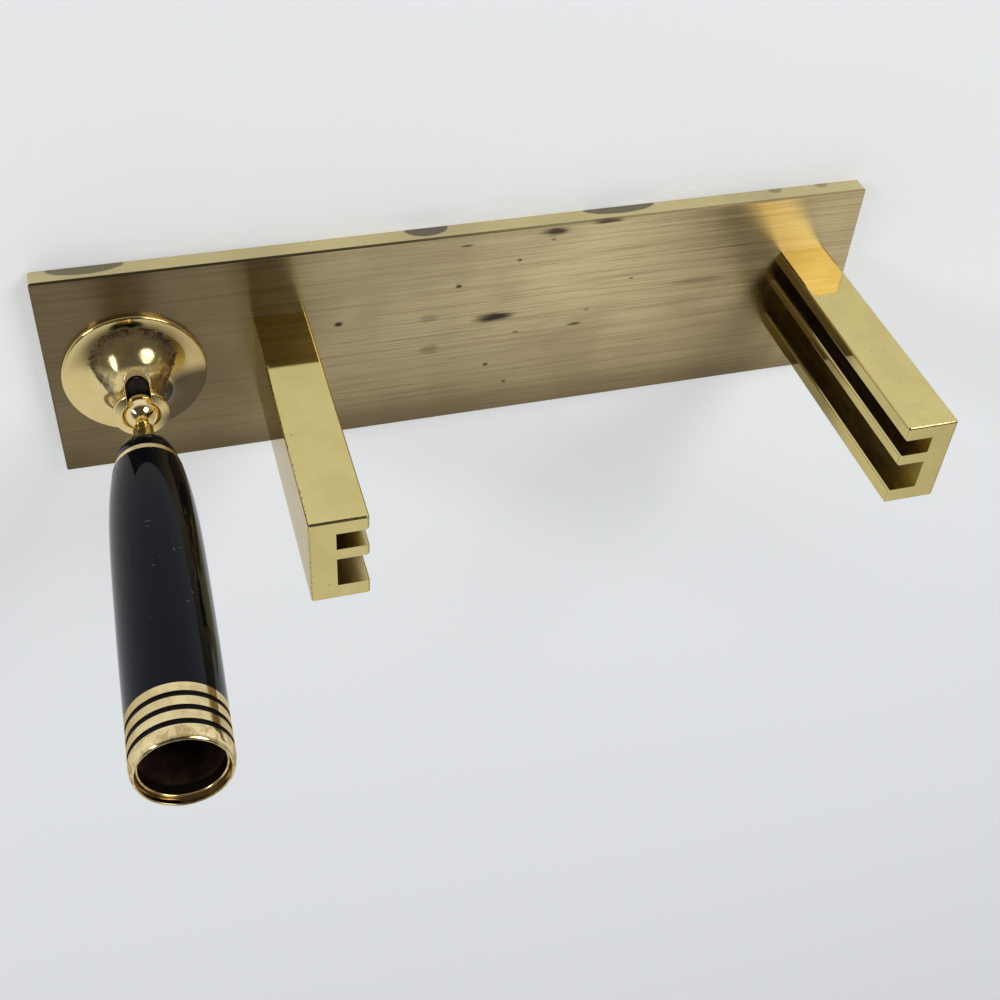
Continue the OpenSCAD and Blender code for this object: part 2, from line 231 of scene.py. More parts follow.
class Surface(Graph):
    """A procedural material: one Principled shader and the textures that feed it, worked in millimetres."""

    def __init__(self, name, **values):
        self.material = bpy.data.materials.new(name)
        self.material.use_nodes = True
        super().__init__(self.material.node_tree)
        self.shader = self.tree.nodes["Principled BSDF"]
        self.feed(**values)

    def feed(self, **values):
        """Sets or links the shader's sockets, named with _ for each space."""
        for socket, value in values.items():
            self.put(self.shader.inputs[socket.replace("_", " ")], value)

    def place(self, stretch=(1, 1, 1)):
        """The point on the piece in millimetres, stretched along each axis."""
        coords = self.add("ShaderNodeTexCoord")
        return self.vectors("MULTIPLY", coords.outputs["Object"], [part / MM for part in stretch])

    def facing(self):
        """How squarely the surface faces along X, Y and Z, from 0 to 1."""
        coords = self.add("ShaderNodeTexCoord")
        return [self.maths("ABSOLUTE", part) for part in self.parts(coords.outputs["Normal"])]

    def noise(self, vector, scale=1.0, detail=4.0, roughness=0.55, distortion=0.0):
        node = self.add("ShaderNodeTexNoise")
        self.put(node.inputs["Vector"], vector)
        node.inputs["Scale"].default_value = scale
        node.inputs["Detail"].default_value = detail
        node.inputs["Roughness"].default_value = roughness
        node.inputs["Distortion"].default_value = distortion
        return node.outputs["Fac"]

    def span(self, a, b):
        """The length of a vector with the two parts a and b."""
        squares = (self.maths("MULTIPLY", part, part) for part in (a, b))
        return self.maths("SQRT", self.maths("ADD", *squares))

    def spot(self, vector, centre, half, core=0.7, rim=1.15, grain=None, ragged=0.0):
        """1 in an ellipse's core and 0 beyond its rim; a grain makes the edge between them ragged."""
        reach = self.vectors("LENGTH", self.vectors("DIVIDE", self.vectors("SUBTRACT", vector, centre), half))
        if grain is not None:
            reach = self.maths("ADD", reach, self.band(grain, 0.3, 0.7, out=(-ragged, ragged), soft=False))
        return self.band(reach, rim, core)

    def bump(self, height, strength, depth):
        node = self.add("ShaderNodeBump")
        self.put(node.inputs["Height"], height)
        node.inputs["Strength"].default_value = strength
        node.inputs["Distance"].default_value = depth * MM
        self.put(self.shader.inputs["Normal"], node.outputs[0])


def dress(material, *names):
    """Gives CAD nodes a material."""
    for name in names:
        slots = nodes[name].data.materials
        slots.clear()
        slots.append(material)


def settle(piece, material, body, slot, *stands_for):
    """Gives a piece its material and body and lets it stand for its CAD nodes."""
    piece.data.materials.clear()
    piece.data.materials.append(material)
    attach(piece, body)
    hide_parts(*stands_for)


def piece_from(name, form):
    """A new object with a form as its mesh."""
    mesh = bpy.data.meshes.new(name)
    form.to_mesh(mesh)
    form.free()
    piece = bpy.data.objects.new(name, mesh)
    bpy.context.scene.collection.objects.link(piece)
    return piece


def arc(centre, rx, ry, start, end, steps):
    """Points on an ellipse from one angle to another, in degrees."""
    points = []
    for i in range(steps + 1):
        angle = math.radians(start + (end - start) * i / steps)
        points.append((centre[0] + rx * math.cos(angle), centre[1] + ry * math.sin(angle)))
    return points


def lathe(name, profile, origin, axis, turns):
    """A turned piece: a closed profile of (radius, height) points swept round an axis, with crisp edges."""
    at = Matrix.Translation(origin * MM) @ UP.rotation_difference(axis).to_matrix().to_4x4()
    form = bmesh.new()
    rings = []
    for radius, height in profile:
        ring = []
        for i in range(turns if radius > ON_AXIS else 1):
            angle = 2 * math.pi * i / turns
            spot = Vector((radius * math.cos(angle), radius * math.sin(angle), height)) * MM
            ring.append(form.verts.new(at @ spot))
        rings.append(ring)
    for low, high in zip(rings, rings[1:] + rings[:1]):
        for i in range(turns):
            j = i + 1
            corners = (low[i % len(low)], low[j % len(low)], high[j % len(high)], high[i % len(high)])
            corners = list(dict.fromkeys(corners))
            if len(corners) > 2:
                form.faces.new(corners)
    bmesh.ops.recalc_face_normals(form, faces=form.faces)
    piece = piece_from(name, form)
    piece.data.shade_smooth()
    piece.data.set_sharp_from_angle(angle=CREASE)
    return piece


def turned(name, profile):
    """A turned piece of the socket or the stud; its profile runs along the lean from the ball's middle."""
    return lathe(name, profile, BALL, SOCKET_AXIS, TURNS)


def sweep(form, path, outward, radius):
    """Adds a closed round bead along a path; outward gives a direction across it at each point."""
    rings = []
    for i, point in enumerate(path):
        along = (path[min(i + 1, len(path) - 1)] - path[max(i - 1, 0)]).normalized()
        across = along.cross(outward[i]).normalized()
        up = across.cross(along)
        ring = []
        for j in range(BEAD_SIDES):
            angle = 2 * math.pi * j / BEAD_SIDES
            spoke = up * math.cos(angle) + across * math.sin(angle)
            ring.append(form.verts.new((point + spoke * radius) * MM))
        rings.append(ring)
    faces = [form.faces.new(rings[0]), form.faces.new(rings[-1])]
    for low, high in zip(rings, rings[1:]):
        for j in range(BEAD_SIDES):
            k = (j + 1) % BEAD_SIDES
            faces.append(form.faces.new((low[j], low[k], high[k], high[j])))
    bmesh.ops.recalc_face_normals(form, faces=faces)


def prism(form, near, far):
    """Closes a prism between two outlines of the same number of vertices."""
    for i in range(len(near)):
        j = (i + 1) % len(near)
        form.faces.new((near[i], near[j], far[j], far[i]))
    form.faces.new(near)
    form.faces.new(far)
    bmesh.ops.recalc_face_normals(form, faces=form.faces)


def carve(piece, form):
    """Cuts a closed form out of a piece."""
    cutter = piece_from("cutter", form)
    cut = piece.modifiers.new("cut", "BOOLEAN")
    cut.operation = "DIFFERENCE"
    cut.solver = "EXACT"
    cut.object = cutter
    whole = piece.data
    cutter_mesh = cutter.data
    graph = bpy.context.evaluated_depsgraph_get()
    piece.data = bpy.data.meshes.new_from_object(piece.evaluated_get(graph))
    piece.modifiers.clear()
    bpy.data.objects.remove(cutter)
    bpy.data.meshes.remove(cutter_mesh)
    bpy.data.meshes.remove(whole)
    piece.data.name = piece.name


def post_slots(low, high, side):
    """Floor of an upright's slots and the sides of each; side is 1 where they open towards +X, else -1."""
    floor_x = low.x + POST_SPINE if side > 0 else high.x - POST_SPINE
    narrow = low.y + FRONT_ARM
    wide = narrow + NARROW_SLOT + MIDDLE_ARM
    return floor_x, (narrow, narrow + NARROW_SLOT), (wide, wide + WIDE_SLOT)


def post_form(name, low, high, side, *screws):
    """Upright of E section, its outer edges softened by polishing, with a blind hole for each screw."""
    floor_x, (narrow, narrow_end), (wide, wide_end) = post_slots(low, high, side)
    back_x, open_x = (low.x, high.x) if side > 0 else (high.x, low.x)
    outline = [(back_x, low.y), (open_x, low.y), (open_x, narrow), (floor_x, narrow), (floor_x, narrow_end),
               (open_x, narrow_end), (open_x, wide), (floor_x, wide), (floor_x, wide_end), (open_x, wide_end),
               (open_x, high.y), (back_x, high.y)]
    form = bmesh.new()
    foot, tip = ([form.verts.new(Vector((x, y, z)) * MM) for x, y in outline] for z in (low.z, high.z))
    prism(form, foot, tip)
    soft = []
    for i in range(len(outline)):
        j = (i + 1) % len(outline)
        if outline[i][0] != floor_x:
            soft.append(form.edges.get((foot[i], tip[i])))
            if outline[j][0] != floor_x:
                soft.append(form.edges.get((tip[i], tip[j])))
    bmesh.ops.bevel(form, geom=soft, offset=POST_SOFT * MM, offset_type="OFFSET", segments=POST_SOFT_STEPS,
                    profile=0.5, affect="EDGES", clamp_overlap=True)
    post = piece_from(name, form)

    holes = bmesh.new()
    bore = (POST_SCREW_R + POST_SCREW_GAP) * MM
    for screw in screws:
        screw_low, screw_high = (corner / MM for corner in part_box(screw))
        middle = (screw_low + screw_high) / 2
        at = Matrix.Translation(Vector((middle.x, middle.y, low.z)) * MM)
        reach = (screw_high.z - low.z + POST_SCREW_GAP) * MM
        bmesh.ops.create_cone(holes, cap_ends=True, segments=HOLE_SIDES, radius1=bore, radius2=bore,
                              depth=2 * reach, matrix=at)
    carve(post, holes)

    # The flats stay flat and the soft edges turn between them
    form = bmesh.new()
    form.from_mesh(post.data)
    for face in form.faces:
        face.smooth = True
    for edge in form.edges:
        flat = {max(abs(part) for part in face.normal) > FLAT_ENOUGH for face in edge.link_faces}
        edge.smooth = len(flat) == 1 and edge.calc_face_angle(0) < CREASE
    form.to_mesh(post.data)
    form.free()
    return post


def bell_form():
    """Bell: trumpet outside, ball seat and spring bore inside, and an arched, rolled slot in front."""
    flare_r = BELL_R - NECK_R - BELL_EDGE / 2
    lip_r = NECK_R + LIP_FLARE
    lip_top = BALL_H + LIP_HOLD + LIP_BEVEL_H
    lip_low = lip_top - LIP_EDGE - LIP_HOLD / 2

    def outer_radius(height):
        if height < NECK_H:
            drop = (NECK_H - height) / (NECK_H - BELL_EDGE)
            return NECK_R + flare_r * (1 - math.sqrt(1 - drop * drop))
        rise = (height - NECK_H) / (lip_low - NECK_H)
        return NECK_R + LIP_FLARE * (1 - math.sqrt(1 - rise * rise))

    seat_top = math.degrees(math.asin(LIP_HOLD / SEAT_R))
    edge_r = BELL_EDGE / 2
    roll_r = LIP_EDGE / 2
    profile = [(BELL_R, 0.0)]
    profile += arc((BELL_R - edge_r, edge_r), edge_r, edge_r, 0, 90, steps=10)
    profile += arc((NECK_R + flare_r, NECK_H), flare_r, NECK_H - BELL_EDGE, 270, 180, steps=72)[1:]
    profile += arc((NECK_R + LIP_FLARE, NECK_H), LIP_FLARE, lip_low - NECK_H, 180, 90, steps=16)[1:]
    profile += arc((lip_r - roll_r, lip_low + roll_r), roll_r, roll_r, 0, 90, steps=10)
    profile += [(NECK_R, lip_top), (SEAT_R * math.cos(math.radians(seat_top)) + LIP_BEVEL, lip_top)]
    profile += arc((0, BALL_H), SEAT_R, SEAT_R, seat_top, 0, steps=10)
    profile += [(SEAT_R, 0.0)]
    bell = lathe("bell", profile, Vector((BELL_X, 0, PLATE_TOP)), UP, BELL_TURNS)

    half = SLOT_W / 2
    arch_z = PLATE_TOP + BALL_H - SLOT_DROP + half
    slot_top = PLATE_TOP + lip_top + CUT_OVER
    outline = arc((BELL_X, arch_z), half, half, 180, 360, steps=48)
    outline += [(BELL_X + half, slot_top), (BELL_X - half, slot_top)]
    form = bmesh.new()
    ends = [[form.verts.new(Vector((x, y, z)) * MM) for x, z in outline] for y in (0.0, -BELL_R - CUT_OVER)]
    prism(form, *ends)
    carve(bell, form)

    reach = half + SLOT_BEAD_R
    bead_top = PLATE_TOP + lip_low - SLOT_BEAD_DROP
    sides = [arch_z + (bead_top - arch_z) * i / BEAD_STEPS for i in range(BEAD_STEPS, 0, -1)]
    edge = [(BELL_X - reach, z) for z in sides]
    edge += arc((BELL_X, arch_z), reach, reach, 180, 360, steps=48)
    edge += [(BELL_X + reach, z) for z in reversed(sides)]
    path = []
    outward = []
    for x, z in edge:
        y = -math.sqrt(outer_radius(z - PLATE_TOP) ** 2 - (x - BELL_X) ** 2)
        path.append(Vector((x, y, z)))
        outward.append(Vector((x - BELL_X, y, 0)).normalized())
    form = bmesh.new()
    form.from_mesh(bell.data)
    sweep(form, path, outward, SLOT_BEAD_R)
    form.to_mesh(bell.data)
    form.free()
    bell.data.shade_smooth()
    bell.data.set_sharp_from_angle(angle=CREASE)
    return bell


def ball_form():
    """Ball, waisted stem, and the thin end inside the socket."""
    shoulder = math.degrees(math.asin(WAIST_R / BALL_R))
    profile = [(0.0, -BALL_R)]
    profile += arc((0, 0), BALL_R, BALL_R, -90, 90 - shoulder, steps=64)[1:]
    profile += arc((STEM_R, WAIST_END), STEM_R - WAIST_R, WAIST_FLARE, 180, 90, steps=16)
    profile += [(STEM_R, SHOULDER), (STUD_R, SHOULDER), (STUD_R, STUD_END), (0.0, STUD_END)]
    return turned("ball", profile)


def cap_form():
    """Rounded end of the socket, with a spigot that carries the ring."""
    profile = [(STUD_BORE_R, CAP_START)]
    profile += arc((CAP_FLAT_R, CAP_END), CAP_R - CAP_FLAT_R, CAP_END - CAP_START, -90, 0, steps=40)
    profile += [(SPIGOT_R, CAP_END), (SPIGOT_R, BARREL_START), (STUD_BORE_R, BARREL_START)]
    return turned("cap", profile)


def barrel_form():
    """Tapered barrel, with a chamber for the nut, a bore for the liner and a thinner tail for the sleeve."""
    length = SLEEVE_START - BARREL_START
    profile = [(STUD_BORE_R, BARREL_START)]
    for i in range(BARREL_STEPS + 1):
        along = length * i / BARREL_STEPS
        if along < BARREL_SWELL:
            fall = (BARREL_R - RING_R - BARREL_STEP) * (1 - along / BARREL_SWELL) ** SWELL_POWER
        else:
            fall = (BARREL_R - SLEEVE_R) * ((along - BARREL_SWELL) / (length - BARREL_SWELL)) ** 2
        profile.append((BARREL_R - fall, BARREL_START + along))
    profile += [(TAIL_R, SLEEVE_START), (TAIL_R, BARREL_END), (BARREL_BORE_R, BARREL_END)]
    profile += [(BARREL_BORE_R, CHAMBER_END), (CHAMBER_R, CHAMBER_END)]
    profile += [(CHAMBER_R, CHAMBER_START), (STUD_BORE_R, CHAMBER_START)]
    return turned("barrel_shell", profile)


def groove_low(index):
    return SLEEVE_START + GROOVE_START + index * GROOVE_PITCH - GROOVE_W / 2


def sleeve_form():
    """Gold sleeve with three grooves, a slightly dented rolled rim, and a half-round ring at the throat."""
    rim_top_r = MOUTH_R + RIM_EDGE
    profile = [(SLEEVE_BORE_R, SLEEVE_START), (SLEEVE_R, SLEEVE_START)]
    for i in range(GROOVES):
        low = groove_low(i)
        profile += [(SLEEVE_R, low), (GROOVE_R, low), (GROOVE_R, low + GROOVE_W), (SLEEVE_R, low + GROOVE_W)]
    profile += arc((rim_top_r, MOUTH_END - RIM_LEN), SLEEVE_R - rim_top_r, RIM_LEN, 0, 90, steps=20)
    profile += arc((rim_top_r, MOUTH_END - RIM_EDGE), RIM_EDGE, RIM_EDGE, 90, 180, steps=10)[1:]
    ring_half = (MOUTH_R - THROAT_R) / 2
    profile += arc((THROAT_R + ring_half, BARREL_END + THROAT_LEN), ring_half, THROAT_BEAD, 0, 180, steps=16)
    profile += [(THROAT_R, BARREL_END), (SLEEVE_BORE_R, BARREL_END)]
    sleeve = turned("sleeve", profile)
    for vertex in sleeve.data.vertices:
        spot = vertex.co / MM - BALL
        along = spot.dot(SOCKET_AXIS)
        share = min(max((along - MOUTH_END + RIM_LEN) / RIM_LEN, 0.0), 1.0)
        inward = (SOCKET_AXIS * along - spot).normalized()
        vertex.co += inward * RIM_DENT * share * (noise.noise(spot * RIM_DENT_SCALE) + 1) / 2 * MM
    return sleeve


def inlay_form(index):
    """Black paint in a groove, with a hollow face."""
    low = groove_low(index)
    centre = (SLEEVE_R - INLAY_DROP, low + GROOVE_W / 2)
    profile = [(GROOVE_R, low)]
    profile += arc(centre, INLAY_SAG, GROOVE_W / 2, -90, -270, steps=16)
    profile += [(GROOVE_R, low + GROOVE_W)]
    return turned(f"inlay_{index + 1}", profile)


# Plate: colours of its brushed face, its marks and its painted shade, and of its narrow edges
STREAK_DARK = (0.63, 0.49, 0.25)
STREAK_PALE = (0.96, 0.79, 0.445)
FACE_CLOUD = (0.46, 0.345, 0.18)
FACE_SHADE = (0.42, 0.39, 0.36)
FACE_REAR_SHADE = (0.20, 0.14, 0.075)
FACE_SCORE = (0.22, 0.165, 0.085)
FACE_STAIN = (0.10, 0.075, 0.053)
EDGE_BRASS = (0.70, 0.59, 0.31)
EDGE_CLOUD = (0.60, 0.50, 0.26)
EDGE_MOON = (0.17, 0.148, 0.105)
CORNER_SHADE = (0.13, 0.10, 0.05)

# Where painted shade darkens the face, in millimetres: along Y to the rear, and along X to the bell and to
# the left upright
SHADE_REAR = (-12.0, 22.0)
DARK_REAR = (11.0, 19.5)
SHADE_BELL = (16.0, 48.0)
SHADE_LEFT = (-16.0, -44.0)
LEFT_END = (-52.0, -62.0)

# Stains on the face: middle along X and Y and half-widths along X and Y, in millimetres, and depth
STAINS = (
    (-3.8, -1.8, 3.6, 0.95, 1.0), (-13.4, -17.7, 2.5, 0.8, 0.95), (-22.4, -18.6, 2.9, 0.45, 0.9),
    (1.7, -16.9, 1.1, 0.22, 0.8), (-7.5, -12.9, 0.5, 0.35, 0.8), (2.8, -9.1, 0.55, 0.4, 0.9),
    (23.1, -4.4, 0.8, 0.45, 0.95), (-13.1, -16.2, 0.6, 0.22, 0.7), (-18.4, 1.9, 1.3, 0.35, 0.8),
    (-7.7, 2.0, 0.6, 0.28, 0.7), (-28.0, -6.4, 0.5, 0.25, 0.6), (-2.6, 8.3, 0.55, 0.35, 0.8),
    (-6.2, 12.7, 0.5, 0.35, 0.7), (-20.4, -0.9, 0.45, 0.25, 0.6), (7.8, -3.2, 1.7, 0.9, 0.3),
    (7.7, 3.4, 1.8, 1.1, 0.3), (-40.7, -4.2, 5.5, 0.6, 0.4), (-38.7, 0.9, 4.5, 2.2, 0.15),
)
STAIN_HALF_Z = 9.0

# Half-moons on the front edge: middle along X and half-widths along X and Z, in millimetres, and depth
MOONS = (
    (61.4, 6.0, 2.1, 0.85), (7.9, 3.7, 2.3, 0.95), (-25.2, 6.4, 2.0, 0.9),
    (-53.7, 1.3, 1.3, 0.55), (-62.5, 1.3, 1.2, 0.5),
)
MOON_HALF_Y = 2.5


def plate_brass():
    """Brushed plate: streaks along X, tarnished spots, painted shade towards its rear and ends, and smooth
    edges with half-moons on the front one.
    """
    s = Surface("plate_brass", Metallic=1.0, Anisotropic=0.93)
    point = s.place()
    x, y, _ = s.parts(point)
    streaks = s.noise(s.place((0.028, 2.1, 2.1)), detail=6.0, roughness=0.68)
    hairs = s.noise(s.place((0.05, 11.0, 11.0)), detail=3.0, roughness=0.6)
    clouds = s.noise(point, scale=0.045, detail=3.0, roughness=0.5, distortion=0.4)
    brushed = s.maths("ADD", s.maths("MULTIPLY", streaks, 0.5), s.maths("MULTIPLY", hairs, 0.5))
    colour = s.mix(s.band(brushed, 0.37, 0.56), STREAK_DARK, STREAK_PALE)
    colour = s.mix(s.band(clouds, 0.38, 0.66, out=(0.0, 0.35)), colour, FACE_CLOUD)

    # Painted shade: darker towards the rear, the bell and the left upright, and darkest along the rear
    rear = s.band(y, *SHADE_REAR, out=(0.0, 0.7))
    bell_end = s.band(x, *SHADE_BELL, out=(0.0, 0.9))
    left_end = s.band(x, *SHADE_LEFT, out=(0.0, 0.6))
    left_end = s.maths("MULTIPLY", left_end, s.band(x, *LEFT_END, out=(1.0, 0.5)))
    painted_shade = s.maths("MAXIMUM", rear, bell_end, left_end)
    colour = s.mix(painted_shade, colour, s.vectors("MULTIPLY", colour, FACE_SHADE))
    colour = s.mix(s.band(y, *DARK_REAR, out=(0.0, 0.6)), colour, FACE_REAR_SHADE)

    # Scores, stains and flecks
    scores = s.noise(s.place((0.20, 6.5, 6.5)), detail=3.0, roughness=0.6)
    colour = s.mix(s.band(scores, 0.60, 0.74, out=(0.0, 0.55)), colour, FACE_SCORE)
    grain = s.noise(s.place((0.28, 3.2, 3.2)), detail=4.0, roughness=0.65)
    marks = []
    for at_x, at_y, half_x, half_y, depth in STAINS:
        half = (half_x, half_y, STAIN_HALF_Z)
        mark = s.spot(point, (at_x, at_y, PLATE_TOP), half, core=0.35, rim=1.3, grain=grain, ragged=0.3)
        marks.append(s.maths("MULTIPLY", mark, depth))
    flecks = s.noise(s.place((0.42, 1.5, 1.5)), detail=2.0, roughness=0.6)
    stains = s.maths("MAXIMUM", *marks, s.band(flecks, 0.735, 0.80, out=(0.0, 0.75)))
    colour = s.mix(stains, colour, FACE_STAIN)

    # The narrow edges are smoother and paler than the face, with painted shade along the corner between them
    level = s.facing()[2]
    edge = s.band(level, 0.35, 0.15)
    edge_colour = s.mix(s.band(clouds, 0.4, 0.7), EDGE_BRASS, EDGE_CLOUD)
    marks = []
    for at_x, half_x, half_z, depth in MOONS:
        at = (at_x, PLATE_LOW.y, PLATE_LOW.z)
        half = (half_x, MOON_HALF_Y, half_z)
        mark = s.spot(point, at, half, core=0.94, rim=1.03, grain=grain, ragged=0.04)
        marks.append(s.maths("MULTIPLY", mark, depth))
    edge_colour = s.mix(s.maths("MAXIMUM", *marks), edge_colour, EDGE_MOON)
    colour = s.mix(edge, colour, edge_colour)
    corner = s.maths("MULTIPLY", s.band(level, 0.35, 0.5), s.band(level, 0.95, 0.85, out=(0.0, 0.9)))
    s.feed(Base_Color=s.mix(corner, colour, CORNER_SHADE))

    rough = s.maths("ADD", s.band(brushed, 0.3, 0.7, out=(0.34, 0.42)), s.maths("MULTIPLY", stains, 0.2))
    s.feed(Roughness=s.maths("MULTIPLY", rough, s.band(edge, 0.0, 1.0, out=(1.0, 0.6))))
    across = s.add("ShaderNodeCombineXYZ")
    across.inputs["Y"].default_value = 1.0
    s.feed(Tangent=across.outputs[0])
    s.bump(s.maths("SUBTRACT", brushed, s.maths("MULTIPLY", stains, 0.4)), strength=0.35, depth=0.02)
    return s.material


# Uprights and gold trim: colours of the metal, its marks and smudges, the darker inside of the mouth, and
# painted shade
POLISH_TINT = (0.72, 0.66, 0.52, 1)
POST_GOLD = (0.74, 0.615, 0.258)
POST_GOLD_WORN = (0.69, 0.565, 0.235)
BALL_GOLD = (0.93, 0.76, 0.40)
BALL_GOLD_WORN = (0.84, 0.67, 0.34)
RING_GOLD = (0.93, 0.76, 0.43)
RING_GOLD_WORN = (0.80, 0.62, 0.32)
SLEEVE_GOLD = (0.92, 0.75, 0.41)
SLEEVE_GOLD_WORN = (0.72, 0.56, 0.28)
PIN_MARK = (0.10, 0.075, 0.045)
SLOT_SHADE = (0.23, 0.185, 0.115)
ARM_SHADE = (0.14, 0.11, 0.06)
EDGE_SHADE_AND_SPECKS = (0.04, 0.028, 0.014)
RIM_SMUDGE = (0.44, 0.30, 0.12)
MOUTH_WALL_DARK = (0.30, 0.205, 0.09)
THROAT_DARK = (0.08, 0.052, 0.026)

# Where the painted shade and the smudges are, in millimetres: skin of the slots' walls, from the uprights'
# tips down, from their feet up, and from the mouth's end down
SLOT_SKIN = (0.06, 0.02)
SHADE_TIP_FADE = (-7.0, -1.0)
ARM_SHADE_RISE = (24.0, 34.0)
SMUDGED_RIM = (-3.0, -0.8)


def post_wear(s, point, clouds, tint, rough, low, high, side):
    """Colour and roughness of an upright, with painted shade in its slots, on its arms' ends and along its
    rounded edges, and dark specks where its edges are worn.
    """
    x, y, z = s.parts(point)
    floor_x, *slots = post_slots(low, high, side)
    # Painted shade inside the slots, mottled by noise and fading towards the tips
    outer, inner = SLOT_SKIN
    depth = s.maths("MULTIPLY", s.maths("SUBTRACT", x, floor_x), side)
    open_side = s.band(depth, -outer, -inner)
    insides = []
    for low_y, high_y in slots:
        front_wall = s.band(y, low_y - outer, low_y - inner)
        rear_wall = s.band(y, high_y + outer, high_y + inner)
        insides.append(s.maths("MULTIPLY", open_side, front_wall, rear_wall))
    shade = s.maths("MAXIMUM", *insides)
    shade_noise = s.noise(s.place((1.2, 1.2, 0.22)), scale=0.9, detail=4.0, roughness=0.6)
    tip_low, tip_high = SHADE_TIP_FADE
    shade = s.maths("MULTIPLY", shade, s.band(z, high.z + tip_low, high.z + tip_high, out=(1.0, 0.5)))
    tint = s.mix(s.maths("MULTIPLY", shade, s.band(shade_noise, 0.3, 0.7, out=(0.65, 0.95))), tint, SLOT_SHADE)
    rough = s.maths("ADD", rough, s.maths("MULTIPLY", shade, 0.25))

    # Painted shade: the arms' ends darken towards the plate, standing in for the dark plate they reflect
    back_x, open_x = (low.x, high.x) if side > 0 else (high.x, low.x)
    foot_low, foot_high = ARM_SHADE_RISE
    arm_shade = s.band(s.maths("ABSOLUTE", s.maths("SUBTRACT", x, open_x)), 0.25, 0.1)
    arm_shade = s.maths("MULTIPLY", arm_shade, s.band(z, low.z + foot_low, low.z + foot_high, out=(0.65, 0.0)))
    tint = s.mix(arm_shade, tint, ARM_SHADE)

    # Painted shade along the rounded edges, and dark specks where the outer ones are worn
    square = s.maths("MAXIMUM", *s.facing())
    shaded_edges = s.maths("MULTIPLY", s.band(square, 0.77, 0.72), s.band(clouds, 0.35, 0.65, out=(1.0, 0.5)))
    near_back, near_front, near_rear, near_tip = (
        s.band(s.maths("ABSOLUTE", s.maths("SUBTRACT", value, face)), 0.6, 0.05)
        for value, face in ((x, back_x), (y, low.y), (y, high.y), (z, high.z)))
    ends = s.maths("MAXIMUM", near_front, near_rear)
    worn_edge = s.maths("MULTIPLY", near_back, s.maths("MAXIMUM", ends, near_tip))
    worn_edge = s.maths("MAXIMUM", worn_edge, s.maths("MULTIPLY", ends, near_tip))
    specks = s.band(s.noise(s.place((1.6, 1.6, 0.8)), scale=2.2, detail=3.0, roughness=0.7), 0.56, 0.64)
    tint = s.mix(s.maths("MAXIMUM", shaded_edges, s.maths("MULTIPLY", worn_edge, specks)), tint, EDGE_SHADE_AND_SPECKS)
    rough = s.maths("ADD", rough, s.maths("MULTIPLY", shaded_edges, 0.25))
    return tint, rough


def mouth_wear(s, point, tint, rough):
    """Colour and roughness of the sleeve, with smudges near its rim and darker walls inside the mouth."""
    out = s.vectors("SUBTRACT", point, BALL)
    away = s.vectors("LENGTH", s.vectors("CROSS_PRODUCT", out, SOCKET_AXIS))
    along = s.vectors("DOT_PRODUCT", out, SOCKET_AXIS)
    smudge = s.band(s.noise(s.place((1.1, 1.1, 0.8)), scale=0.8, detail=5.0, roughness=0.65), 0.46, 0.62)
    rim_low, rim_high = SMUDGED_RIM
    rim = s.band(along, MOUTH_END + rim_low, MOUTH_END + rim_high, out=(0.2, 0.75))
    tint = s.mix(s.maths("MULTIPLY", smudge, rim), tint, RIM_SMUDGE)
    wall = s.band(away, MOUTH_R + 0.10, MOUTH_R + 0.02)
    wall = s.maths("MULTIPLY", wall, s.band(away, MOUTH_R - 0.05, MOUTH_R - 0.02))
    throat = s.band(away, THROAT_R + 0.02, THROAT_R + 0.01)
    tint = s.mix(s.maths("MULTIPLY", wall, 0.85), tint, MOUTH_WALL_DARK)
    tint = s.mix(throat, tint, THROAT_DARK)
    rough = s.maths("ADD", rough, s.maths("MULTIPLY", s.maths("MAXIMUM", wall, throat), 0.32))
    return tint, rough


def polished_brass(name, colour, worn, roughness, post=None, mouth=False):
    """Mirror-polished brass with faint cloudiness, fine scratches and dark pin marks."""
    s = Surface(name, Metallic=1.0, Specular_Tint=POLISH_TINT)
    point = s.place()
    clouds = s.noise(point, scale=0.16, detail=4.0, roughness=0.55, distortion=0.3)
    pins = s.band(s.noise(point, scale=1.35, detail=2.0, roughness=0.5), 0.75, 0.79)
    scratches = s.noise(s.place((0.9, 0.9, 0.05)), scale=3.2, detail=2.0, roughness=0.5)
    tint = s.mix(s.band(clouds, 0.40, 0.68), colour, worn)
    tint = s.mix(s.maths("MULTIPLY", pins, 0.8), tint, PIN_MARK)
    rough = s.band(clouds, 0.3, 0.75, out=(roughness, roughness * 1.7))
    if post is not None:
        tint, rough = post_wear(s, point, clouds, tint, rough, *post)
    if mouth:
        tint, rough = mouth_wear(s, point, tint, rough)
    s.feed(Base_Color=tint, Roughness=rough)
    s.bump(s.maths("SUBTRACT", s.maths("MULTIPLY", scratches, 0.5), pins), strength=0.12, depth=0.01)
    return s.material


# Bell: colours of the metal with its painted amber reflection and shade, of the slot's cut faces, and of the
# patina and painted dark reflection on its front
BELL_GOLD = (0.83, 0.67, 0.30)
BELL_GOLD_WORN = (0.77, 0.61, 0.26)
BELL_SIDE_REFLECTION = (0.60, 0.44, 0.19)
BELL_BEHIND_SHADE = (0.12, 0.09, 0.045)
BELL_CUT = (0.95, 0.74, 0.36)
TARNISH_REFLECTION_BROWN = (0.12, 0.085, 0.05)
TARNISH_REFLECTION_RED = (0.16, 0.078, 0.045)
TARNISH_REFLECTION_BLOTCH = (0.036, 0.027, 0.016)

# Outline of the patina and painted dark reflection, in millimetres: a curve that reaches to the front,
# rounded off by an ellipse from above
TARNISH_REFLECTION_START = 5.36
TARNISH_REFLECTION_SLOPE = 1.17
TARNISH_REFLECTION_MIDDLE_Y = -3.6
TARNISH_REFLECTION_HALF_X = 6.9
TARNISH_REFLECTION_HALF_Y = 6.2
TARNISH_REFLECTION_FALL = 6.0
TARNISH_REFLECTION_FOOT = (10.0, 9.3)


